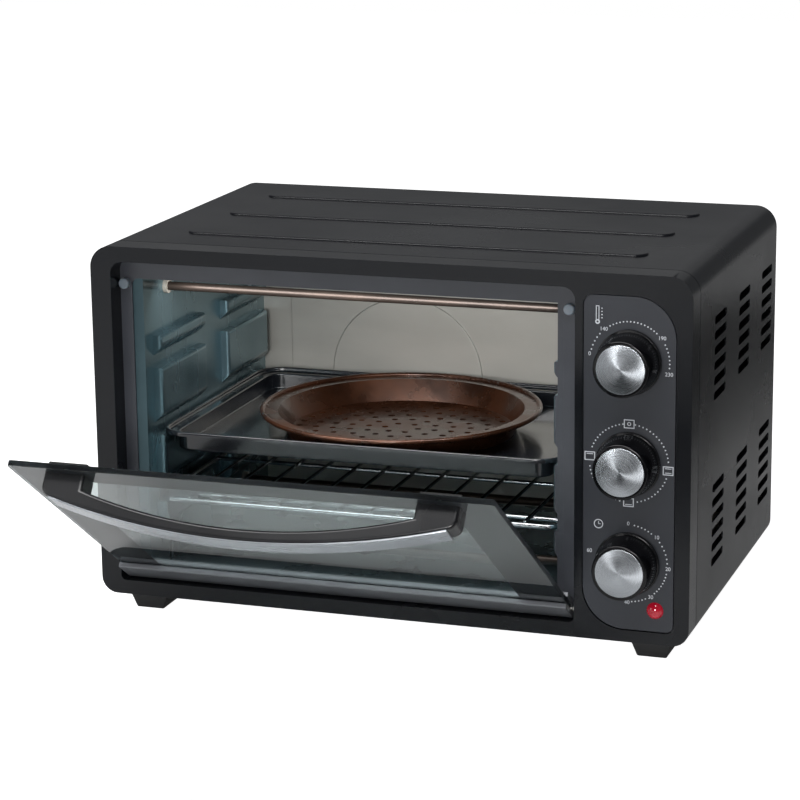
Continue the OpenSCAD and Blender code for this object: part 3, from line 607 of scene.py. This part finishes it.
clock = dial_centre("timer_disc")
printed(dots(clock, [(9, 36, 6), (53, 86, 6), (102, 137, 8), (153, 174, 5)])
        + [figure(words, clock, degrees) for words, degrees in
           (("0", 0), ("10", 45), ("20", 94), ("30", 145), ("40", 181), ("60", 284))],
        "time_scale_print")

icon_x = heat.x - 22.5 * mm
stem_z = heat.z + 31 * mm
mark_pitch, mark_t = 2.2 * mm, 0.7 * mm
printed([outlined(icon_x, stem_z + 1.5 * mm, 2.4 * mm, 10 * mm, 0.5 * mm),
         ring(icon_x, stem_z - 4.6 * mm, 1.2 * mm, 0.9 * mm)]
        + [bar(icon_x + 2.6 * mm, stem_z + i * mark_pitch,
               icon_x + 3.5 * mm, stem_z + i * mark_pitch + mark_t) for i in range(-1, 3)],
        "thermometer_print")
clock_x, clock_z = clock.x - 21 * mm, clock.z + 26.5 * mm
hand = 0.25 * mm
printed([ring(clock_x, clock_z, 3 * mm, 0.6 * mm),
         bar(clock_x - hand, clock_z - 0.2 * mm, clock_x + hand, clock_z + 1.9 * mm),
         bar(clock_x - hand, clock_z - hand, clock_x + 1.5 * mm, clock_z + hand)],
        "clock_print")

# ---- Knobs ----
# Gloss black turned-looking mouldings with a short skirt and a tapering body. Each carries a
# spun aluminium disc pressed into a seat in its face, and is pushed on its steel shaft.
knob_black = finish("gloss_black_knob", colour(4, 4, 6), colour(7, 7, 9), (0.12, 0.2),
                    1500, 0.006 * mm, patch=25, Specular_IOR_Level=0.3)

spun = bpy.data.node_groups.new("spun_rings", "ShaderNodeTree")
socket(spun, "Position", "INPUT", "NodeSocketVector")
socket(spun, "Ring Scale", "INPUT", value=4000)
socket(spun, "Height", "OUTPUT")
socket(spun, "Tone", "OUTPUT")
inner = spun.nodes
ask, give = inner.new("NodeGroupInput"), inner.new("NodeGroupOutput")
flat, far, times = (inner.new("ShaderNodeVectorMath"), inner.new("ShaderNodeVectorMath"),
                    inner.new("ShaderNodeMath"))
flat.operation = "MULTIPLY"
flat.inputs[1].default_value = (1, 0, 1)
far.operation = "LENGTH"
times.operation = "MULTIPLY"
grooves = inner.new("ShaderNodeTexNoise")
grooves.noise_dimensions = "1D"
grooves.inputs["Scale"].default_value = 1
grooves.inputs["Detail"].default_value = 4
for a, b in ((ask.outputs["Position"], flat.inputs[0]), (flat.outputs["Vector"], far.inputs[0]),
             (far.outputs["Value"], times.inputs[0]), (ask.outputs["Ring Scale"], times.inputs[1]),
             (times.outputs["Value"], grooves.inputs["W"]),
             (grooves.outputs["Fac"], give.inputs["Height"]),
             (grooves.outputs["Fac"], give.inputs["Tone"])):
    spun.links.new(a, b)


def spun_metal(name, centre):
    """Aluminium with rings turned about an axis along Y through centre."""
    made = bpy.data.materials.new(name)
    made.use_nodes = True
    parts, links = made.node_tree.nodes, made.node_tree.links
    shader = parts["Principled BSDF"]
    shader.inputs["Metallic"].default_value = 1
    shader.inputs["Anisotropic"].default_value = 0.85
    where, centred = parts.new("ShaderNodeTexCoord"), parts.new("ShaderNodeMapping")
    centred.inputs["Location"].default_value = (-centre.x, -centre.y, -centre.z)
    rings = parts.new("ShaderNodeGroup")
    rings.node_tree = spun
    tone, rough, bump = (parts.new("ShaderNodeMix"), parts.new("ShaderNodeMapRange"),
                         parts.new("ShaderNodeBump"))
    tone.data_type = "RGBA"
    tone.inputs["A"].default_value = colour(150, 154, 159)
    tone.inputs["B"].default_value = colour(182, 186, 190)
    rough.inputs["To Min"].default_value, rough.inputs["To Max"].default_value = 0.2, 0.32
    bump.inputs["Distance"].default_value = 0.004 * mm
    around = parts.new("ShaderNodeTangent")
    around.direction_type, around.axis = "RADIAL", "Y"
    for a, b in ((where.outputs["Object"], centred.inputs["Vector"]),
                 (centred.outputs["Vector"], rings.inputs["Position"]),
                 (rings.outputs["Tone"], tone.inputs["Factor"]),
                 (rings.outputs["Tone"], rough.inputs["Value"]),
                 (rings.outputs["Height"], bump.inputs["Height"]),
                 (tone.outputs["Result"], shader.inputs["Base Color"]),
                 (rough.outputs["Result"], shader.inputs["Roughness"]),
                 (bump.outputs["Normal"], shader.inputs["Normal"]),
                 (around.outputs["Tangent"], shader.inputs["Tangent"])):
        links.new(a, b)
    return made


face_r, seat_r, seat_depth = 19.3 * mm, 17.1 * mm, 1 * mm
skirt, skirt_ledge = 3 * mm, 0.9 * mm
face_edge_reach = 22 * mm
for dial in ("thermostat", "function", "timer"):
    low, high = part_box(dial + "_knob")
    centre = (low + high) / 2
    foot_r, height = (high.x - low.x) / 2, high.y - low.y
    bpy.ops.object.select_all(action="DESELECT")
    bpy.ops.mesh.primitive_cylinder_add(vertices=96, radius=foot_r, depth=skirt,
                                        location=(centre.x, high.y - skirt / 2, centre.z),
                                        rotation=(math.pi / 2, 0, 0))
    knob = set_in_place()
    knob.name = dial + "_knob_moulding"
    only(knob)
    bpy.ops.object.mode_set(mode="EDIT")
    pick(knob, "FACE", lambda face: face.normal.y < -0.9)
    bpy.ops.mesh.inset(thickness=skirt_ledge)
    bpy.ops.mesh.extrude_region_move(TRANSFORM_OT_translate={"value": (0, skirt - height, 0)})
    narrow = face_r / (foot_r - skirt_ledge)
    bpy.ops.transform.resize(value=(narrow, 1, narrow), center_override=(centre.x, low.y, centre.z))
    bpy.ops.mesh.inset(thickness=face_r - seat_r)
    bpy.ops.mesh.extrude_region_move(TRANSFORM_OT_translate={"value": (0, seat_depth, 0)})
    bpy.ops.object.mode_set(mode="OBJECT")
    round_over(knob, 1.1 * mm, 4, lambda edge: middle(edge).y < low.y + 0.05 * mm
               and (middle(edge) - centre).length > face_edge_reach)
    round_over(knob, 0.8 * mm, 3,
               lambda edge: low.y + 5 * mm < middle(edge).y < high.y - 1 * mm)
    dress(knob, knob_black)
    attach(knob, dial + "_dial")
    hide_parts(dial + "_knob")

    low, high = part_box(dial + "_disc")
    bpy.ops.object.select_all(action="DESELECT")
    bpy.ops.mesh.primitive_cylinder_add(vertices=96, radius=(high.x - low.x) / 2,
                                        depth=high.y - low.y, location=(low + high) / 2,
                                        rotation=(math.pi / 2, 0, 0))
    disc = set_in_place()
    disc.name = dial + "_spun_disc"
    face_y = low.y
    round_over(disc, 0.45 * mm, 3, lambda edge: middle(edge).y < face_y + 0.05 * mm)
    dress(disc, spun_metal(dial + "_spun_aluminium", (low + high) / 2))
    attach(disc, dial + "_dial")
    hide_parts(dial + "_disc")

# ---- Switches, shafts and pilot lamp ----
# Behind the panel: thermostat, mode switch and clockwork timer in moulded housings, each
# screwed to the front frame, and a neon lamp under a clear red domed lens.
housing_cream = finish("cream_moulded_housing", colour(196, 190, 176), colour(208, 203, 190),
                       (0.45, 0.6), 700, 0.02 * mm, patch=40)
paint(housing_cream, "thermostat", "function_switch", "timer", "terminal_block")
paint(bright_zinc, "thermostat_shaft", "function_shaft", "timer_shaft", "control_screws")
neon = finish("neon_lamp_glass", colour(232, 200, 170), colour(240, 214, 186), (0.08, 0.15),
              300, 0.002 * mm)
paint(neon, "pilot_lamp")
red_lens = finish("clear_red_lens", colour(176, 14, 42), colour(196, 22, 52), (0.05, 0.1),
                  300, 0.002 * mm, patch=120, Transmission_Weight=0.35, IOR=1.49,
                  Coat_Weight=0.6, Coat_Roughness=0.03, Emission_Strength=0.12,
                  Emission_Color=colour(190, 8, 30))
lens = welded("pilot_lens", "red_pilot_lens")
dress(lens, red_lens)

# ---- Cavity ----
# A box of aluminised steel behind the frame. The side walls have pressed shelf guides with
# soft edges; the back wall has a raised field and a round boss.
liner_steel = finish("aluminised_steel", colour(96, 122, 130), colour(118, 142, 150), (0.22, 0.34),
                     260, 0.03 * mm, patch=18, stretch=(1, 1, 0.25), Metallic=0.85)
# A darker copy of the liner steel for the left wall's front flange: painted shade, not a different metal.
painted_shade_steel = finish("painted_shade_flange_steel", colour(62, 80, 86), colour(76, 96, 102), (0.3, 0.42),
                      260, 0.03 * mm, patch=18, Metallic=0.85)
shortest_edge, flange_w = 6.5 * mm, 9 * mm
for node in ("cavity_left_wall", "cavity_right_wall"):
    wall = welded(node, node.replace("cavity_", "") + "_pressing")
    on_right = "right" in node
    low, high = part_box(node)
    round_over(wall, 2.6 * mm, 5, lambda edge: edge.calc_length() > shortest_edge
               and middle(edge).y > low.y + flange_w
               and (middle(edge).x - low.x if on_right else high.x - middle(edge).x) < 0.1 * mm)
    dress(wall, liner_steel)
    # Front-facing faces take the second material as painted shade: the darker steel copy on the left flange, the
    # frame's dark enamel on the right wall's flange and guide ends.
    wall.data.materials.append(frame_enamel if on_right else painted_shade_steel)
    reach = high.y if on_right else low.y + 0.5 * mm
    for face in wall.data.polygons:
        face.material_index = int(face.normal.y < -0.7 and face.center.y < reach)
paint(liner_steel, "cavity_ceiling", "cavity_floor")
back_steel = finish("heat_toned_back_steel", colour(150, 148, 142), colour(176, 173, 166),
                    (0.36, 0.5), 240, 0.02 * mm, patch=11, stretch=(0.3, 1, 1), Metallic=0.55)
back_wall = welded("cavity_back", "back_wall_pressing")
raised_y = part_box("cavity_back")[1].y - 1.2 * mm
round_over(back_wall, 0.8 * mm, 3, lambda edge: middle(edge).y < raised_y)
dress(back_wall, back_steel)

# ---- Heating tubes ----
# Two tubes of oxidised steel under the ceiling and two over the floor, each carried at both
# ends by a glazed ceramic bush in the side walls.
oxidised = finish("oxidised_heater_tube", colour(40, 34, 31), colour(62, 52, 46), (0.32, 0.5),
                  420, 0.02 * mm, patch=26, stretch=(0.4, 1, 1), Metallic=0.75)
for node in ("upper_front_heater", "upper_rear_heater", "lower_front_heater", "lower_rear_heater"):
    dress(welded(node, node.replace("heater", "heating_tube")), oxidised)
ceramic = finish("glazed_ceramic", colour(120, 116, 108), colour(138, 134, 125), (0.2, 0.3),
                 300, 0.01 * mm, patch=60, Coat_Weight=0.3)
dress(welded("heater_insulators", "ceramic_bushes"), ceramic)

# ---- Convection fan ----
# A pressed housing behind the right wall's holes, an eight-blade impeller on a steel shaft,
# and a small motor with a dark laminated core.
plain_sheet = finish("plain_aluminium_sheet", colour(176, 178, 180), colour(194, 196, 198),
                     (0.3, 0.45), 320, 0.01 * mm, patch=30, Metallic=1.0)
paint(plain_sheet, "fan_housing", "fan_impeller")
paint(bright_zinc, "fan_shaft")
motor_core = finish("laminated_motor_core", colour(70, 58, 48), colour(90, 76, 62), (0.4, 0.55),
                    1500, 0.05 * mm, patch=40, stretch=(12, 1, 1), Metallic=0.6)
paint(motor_core, "fan_motor")

# ---- Cord inlet ----
# A soft black bush that lines the hole in the rear panel where the supply lead goes in.
dress(welded("cord_inlet", "inlet_bush"), foot_rubber)

# ---- Door glass ----
# One pane of tempered glass with ground edges. A dark enamel border is fired into its inner
# face and leaves a clear window.
hinge = next(joint for joint in frame["joints"] if joint["name"] == "door_hinge")
hinge_spot = Vector(hinge["pos_m"])
open_turn = math.radians(-hinge["range_deg"][0])
swing = (Matrix.Translation(hinge_spot) @ Matrix.Rotation(open_turn, 4, "X")
         @ Matrix.Translation(-hinge_spot))
unswing = swing.inverted()


def shut(point):
    """Where a point of the standing door is when the door is shut."""
    return unswing @ point


clear_glass = finish("green_white_glass", (0.84, 0.96, 0.96, 1), (0.86, 0.97, 0.97, 1),
                     (0.0, 0.01), 40, 0.0, patch=3, Transmission_Weight=1.0, IOR=1.5)
glass = welded("door_glass", "door_pane")
round_over(glass, 0.5 * mm, 1, lambda edge: True)
dress(glass, clear_glass)

pane = [shut(v.co) for v in nodes["door_glass"].data.vertices]
pane_lo = Vector([min(p[i] for p in pane) for i in range(3)])
pane_hi = Vector([max(p[i] for p in pane) for i in range(3)])
border_t, border_depth = 0.15 * mm, 0.3 * mm
edge_gap, first_inset = 0.8 * mm, 20 * mm
window = {"left": 31.5 * mm, "right": 33.5 * mm, "top": 25 * mm, "bottom": 15 * mm}
centre = (pane_lo + pane_hi) / 2
border_w = pane_hi.x - pane_lo.x - 2 * edge_gap
border_h = pane_hi.z - pane_lo.z - 2 * edge_gap
bpy.ops.object.select_all(action="DESELECT")
bpy.ops.mesh.primitive_plane_add(size=1, location=(centre.x, pane_hi.y - border_depth, centre.z),
                                 rotation=(math.pi / 2, 0, 0))
border = bpy.context.object
border.name = "fired_border"
border.scale = (border_w, border_h, 1)
set_in_place()
only(border)
bpy.ops.object.mode_set(mode="EDIT")
bpy.ops.mesh.select_all(action="SELECT")
bpy.ops.mesh.inset(thickness=first_inset)
clear_x0, clear_x1 = pane_lo.x + window["left"], pane_hi.x - window["right"]
clear_z0, clear_z1 = pane_lo.z + window["bottom"], pane_hi.z - window["top"]
widen = (clear_x1 - clear_x0) / (border_w - 2 * first_inset)
heighten = (clear_z1 - clear_z0) / (border_h - 2 * first_inset)
bpy.ops.transform.resize(value=(widen, 1, heighten),
                         center_override=(centre.x, pane_hi.y, centre.z))
bpy.ops.transform.translate(value=((clear_x0 + clear_x1) / 2 - centre.x, 0,
                                   (clear_z0 + clear_z1) / 2 - centre.z))
bpy.ops.mesh.delete(type="FACE")
bpy.ops.mesh.select_all(action="SELECT")
bpy.ops.mesh.extrude_region_move(TRANSFORM_OT_translate={"value": (0, border_t, 0)})
bpy.ops.mesh.select_all(action="SELECT")
bpy.ops.mesh.normals_make_consistent(inside=False)
bpy.ops.object.mode_set(mode="OBJECT")
round_over(border, 4 * mm, 5, lambda edge: depth_of(edge) > border_t / 2
           and clear_x0 - mm < middle(edge).x < clear_x1 + mm
           and clear_z0 - mm < middle(edge).z < clear_z1 + mm)
border.data.transform(swing)
border_enamel = finish("dark_fired_enamel", colour(44, 46, 51), colour(50, 52, 57), (0.4, 0.5),
                       1200, 0.006 * mm, patch=20)
dress(border, border_enamel)
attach(border, "door")

# ---- Door rail and pins ----
# A dark anodised extrusion grips the pane's lower edge and turns on two steel pins.
# The rail's mid-grey, mostly diffuse tone is partly its own dark anodised colour and partly a painted reflection:
# lighter than the metal, to stand for the sheen it would catch.
rail_tone_with_painted_sheen = finish("rail_grey_with_painted_sheen", colour(100, 102, 106), colour(112, 114, 118), (0.3, 0.38),
                   500, 0.008 * mm, patch=20, stretch=(0.05, 1, 1), Metallic=0.3)
rail = welded("door_rail", "rail_extrusion")
round_over(rail, 0.9 * mm, 3, lambda edge: edge.calc_length() > 50 * mm)
dress(rail, rail_tone_with_painted_sheen)
pins = welded("hinge_pins", "steel_hinge_pins")
round_over(pins, 0.4 * mm, 2, lambda edge: True)
dress(pins, bright_zinc)

# ---- Handle ----
# A bowed satin black moulding with two broad posts, a brushed metal strip on its outer face,
# and rubber pads and cross-head screws behind the glass.
handle_skin = finish("satin_black_handle", colour(12, 12, 15), colour(16, 16, 19), (0.26, 0.34),
                     1500, 0.012 * mm, patch=14)
handle = welded("door_handle", "bowed_handle")
round_over(handle, 2.4 * mm, 4, lambda edge: shut(middle(edge)).y < pane_lo.y - 0.5 * mm)
dress(handle, handle_skin)
strip_metal = finish("brushed_trim_strip", colour(168, 172, 178), colour(188, 192, 197),
                     (0.24, 0.34), 900, 0.01 * mm, patch=60, stretch=(0.02, 1, 1), Metallic=1.0)
strip = welded("handle_trim", "metal_strip")
round_over(strip, 0.35 * mm, 2, lambda edge: True)
dress(strip, strip_metal)
pads = welded("handle_pads", "backing_pads")
round_over(pads, 0.9 * mm, 3, lambda edge: True)
dress(pads, foot_rubber)
old_heads = [shut(v.co) for v in nodes["handle_screws"].data.vertices]
head_r, head_h = 3.5 * mm, 2.1 * mm
seat_y = max(p.y for p in old_heads) - head_h
screw_z = (min(p.z for p in old_heads) + max(p.z for p in old_heads)) / 2
screw_places = [min(p.x for p in old_heads) + head_r, max(p.x for p in old_heads) - head_r]
handle_screw = cross_screw(head_r, head_h, 2 * mm, 16 * mm)
heads = [moved_copy(handle_screw, "head",
                    swing @ Matrix.Translation((x, seat_y, screw_z)) @ to_back)
         for x in screw_places]
bpy.data.objects.remove(handle_screw)
heads = join(heads, "handle_cross_screws")
dress(heads, bright_zinc)
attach(heads, "door")
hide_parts("handle_screws")

# ---- Wire rack ----
# Chromed round wire: a frame with bent corners, cross bars under the long wires, and the
# long wires spot-welded across them.
chrome = finish("bright_chrome_wire", colour(150, 152, 155), colour(176, 178, 181), (0.1, 0.2),
                300, 0.002 * mm, patch=40, Metallic=1.0)
rack_lo, rack_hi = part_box("wire_rack")
bar_r, cross_r, wire_r = 2.2 * mm, 1.6 * mm, 1.3 * mm
bar_z = rack_lo.z + bar_r


def bent_frame(x0, y0, x1, y1, z, corner, radius):
    """A closed frame of round wire with bent corners."""
    bpy.ops.object.select_all(action="DESELECT")
    bpy.ops.mesh.primitive_plane_add(size=1, location=((x0 + x1) / 2, (y0 + y1) / 2, z))
    loop = bpy.context.object
    loop.scale = (x1 - x0, y1 - y0, 1)
    set_in_place()
    only(loop)
    bpy.ops.object.mode_set(mode="EDIT")
    bpy.ops.mesh.select_all(action="SELECT")
    bpy.ops.mesh.bevel(offset=corner, segments=6, affect="VERTICES")
    bpy.ops.mesh.select_all(action="SELECT")
    bpy.ops.mesh.delete(type="ONLY_FACE")
    bpy.ops.object.mode_set(mode="OBJECT")
    bpy.ops.object.convert(target="CURVE")
    bpy.context.object.data.bevel_depth = radius
    bpy.context.object.data.bevel_resolution = 4
    bpy.ops.object.convert(target="MESH")
    return bpy.context.object


def straight_wire(start, end, radius):
    """A round wire from start to end, with its tips rounded off."""
    start, end = Vector(start), Vector(end)
    bpy.ops.object.select_all(action="DESELECT")
    bpy.ops.mesh.primitive_cylinder_add(vertices=16, radius=radius, depth=(end - start).length)
    wire = bpy.context.object
    wire.rotation_mode = "QUATERNION"
    wire.rotation_quaternion = (end - start).to_track_quat("Z", "Y")
    wire.location = (start + end) / 2
    set_in_place()
    round_over(wire, radius * 0.6, 2, lambda edge: True)
    return wire


left_x, right_x = rack_lo.x + bar_r, rack_hi.x - bar_r
wires = [bent_frame(left_x, rack_lo.y + bar_r, right_x, rack_hi.y - bar_r, bar_z, 9 * mm, bar_r)]
cross_inset = 21 * mm
for y in (rack_lo.y + cross_inset, (rack_lo.y + rack_hi.y) / 2, rack_hi.y - cross_inset):
    wires.append(straight_wire((left_x, y, bar_z), (right_x, y, bar_z), cross_r))
long_wires, end_gap = 12, 0.5 * mm
pitch = (right_x - left_x) / (long_wires + 1)
first = straight_wire((left_x + pitch, rack_lo.y + end_gap, rack_hi.z - wire_r),
                      (left_x + pitch, rack_hi.y - end_gap, rack_hi.z - wire_r), wire_r)
wires += [first] + [moved_copy(first, "long_wire", Matrix.Translation((i * pitch, 0, 0)))
                    for i in range(1, long_wires)]
rack = join(wires, "chromed_rack")
shade(rack)
dress(rack, chrome)
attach(rack, "rack")
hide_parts("wire_rack")

# ---- Baking tray ----
# Pressed from one sheet and coated in black enamel: flat floor, drawn walls, a flange that
# runs in the shelf guides and a raised bead all round it.
enamel_black = finish("black_tray_enamel", colour(20, 22, 26), colour(26, 28, 33), (0.14, 0.24),
                      350, 0.02 * mm, patch=24, Coat_Weight=0.4, Coat_Roughness=0.1)
tray_lo, tray_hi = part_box("baking_tray")
bead_w, bead_h, rim_w, sheet_t = 2.8 * mm, 3 * mm, 8.2 * mm, 1.1 * mm
corner_r, floor_line = 22 * mm, 1.2 * mm
wall_drop = tray_hi.z - bead_h - tray_lo.z - sheet_t
bpy.ops.object.select_all(action="DESELECT")
bpy.ops.mesh.primitive_plane_add(size=1, location=((tray_lo.x + tray_hi.x) / 2,
                                                   (tray_lo.y + tray_hi.y) / 2, tray_hi.z))
tray = bpy.context.object
tray.name = "enamelled_tray"
tray.scale = (tray_hi.x - tray_lo.x, tray_hi.y - tray_lo.y, 1)
set_in_place()
only(tray)
bpy.ops.object.mode_set(mode="EDIT")
bpy.ops.mesh.select_all(action="SELECT")
bpy.ops.mesh.bevel(offset=corner_r, segments=9, affect="VERTICES")
bpy.ops.mesh.select_all(action="SELECT")
bpy.ops.mesh.inset(thickness=bead_w)
bpy.ops.mesh.extrude_region_move(TRANSFORM_OT_translate={"value": (0, 0, -bead_h)})
bpy.ops.mesh.inset(thickness=rim_w)
bpy.ops.mesh.extrude_region_move(TRANSFORM_OT_translate={"value": (0, 0, -wall_drop)})
bpy.ops.mesh.inset(thickness=floor_line)
pick(tray, "EDGE", lambda edge: edge.is_boundary)
bpy.ops.mesh.extrude_region_move(TRANSFORM_OT_translate={"value": (0, 0, -bead_h)})
pick(tray, "EDGE", lambda edge: sharp(edge, 50))
bpy.ops.mesh.bevel(offset=1.1 * mm, segments=3, affect="EDGES", clamp_overlap=True)
bpy.ops.mesh.select_all(action="SELECT")
bpy.ops.mesh.normals_make_consistent(inside=False)
bpy.ops.object.mode_set(mode="OBJECT")
gauge = tray.modifiers.new("gauge", "SOLIDIFY")
gauge.thickness = sheet_t
gauge.offset = -1
bpy.ops.object.modifier_apply(modifier=gauge.name)
shade(tray)
dress(tray, enamel_black)
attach(tray, "tray")
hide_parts("baking_tray")

# ---- Crisper pan ----
# A round pan of thin steel with a bronze non-stick coat, a rolled rim and rings of holes in
# its floor. It hangs in the tray.
bronze = finish("bronze_non_stick_coat", colour(58, 34, 22), colour(84, 48, 28), (0.22, 0.36),
                900, 0.02 * mm, patch=30, Metallic=0.55, Coat_Weight=0.2)
dress(welded("crisper_pan", "round_crisper"), bronze)
